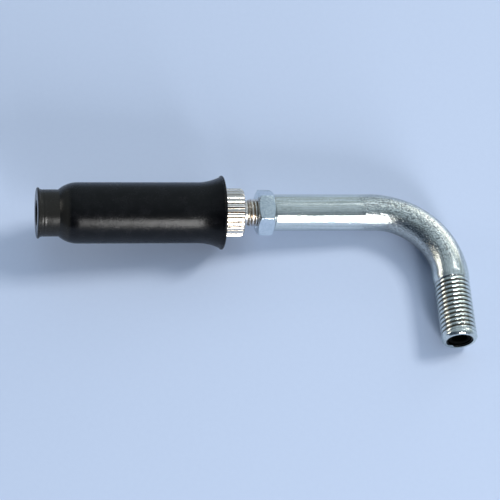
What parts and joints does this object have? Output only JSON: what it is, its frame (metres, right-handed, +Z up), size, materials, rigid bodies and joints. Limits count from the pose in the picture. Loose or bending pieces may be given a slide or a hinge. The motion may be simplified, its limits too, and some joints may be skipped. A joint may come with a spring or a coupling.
{
  "type": "cable elbow adjuster",
  "caption": "Right-angle bent steel cable elbow with a threaded outlet, lock nut, knurled hollow cable adjuster and rubber boot.",
  "frame": {"origin": "centre of the bounding box's footprint, on the surface that the part lies on", "axes": "+X from the boot's narrow end to the bend, along the cable line, which rises by 4.7 degrees towards -X; -Y is the way the threaded leg points; +Z up from the surface"},
  "size_m": [0.094, 0.0401, 0.0173],
  "materials": {
    "zinc_steel": "bright zinc plating, smooth, faintly blue",
    "nut_zinc": "bright zinc plating, smooth",
    "nickel_steel": "nickel plating, warm silver, satin",
    "black_rubber": "moulded, satin, lightly dusty",
    "black_nylon": "smooth"
  },
  "bodies": {
    "elbow": {"elbow_tube": "zinc_steel", "cable_liner": "black_nylon"},
    "lock_nut": {"lock_nut": "nut_zinc"},
    "adjuster": {"adjuster_screw": "nickel_steel"},
    "boot": {"rubber_boot": "black_rubber"}
  },
  "joints": [
    {"name": "screw_turn", "type": "hinge", "parent": "elbow", "child": "lock_nut", "pos_m": [0.00509, 0.01195, 0.00713], "axis": [-0.9966, 0, 0.0823], "range_deg": [0, 2880]},
    {"name": "screw_travel", "type": "slide", "parent": "lock_nut", "child": "adjuster", "axis": [-0.9966, 0, 0.0823], "range_m": [0, 0.006]},
    {"name": "boot_slide", "type": "slide", "parent": "adjuster", "child": "boot", "axis": [-0.9966, 0, 0.0823], "range_m": [-0.016, 0.02]}
  ],
  "couplings": [
    {"joint": "screw_travel", "follows": "screw_turn", "m_per_rad": 0.00011937}
  ]
}
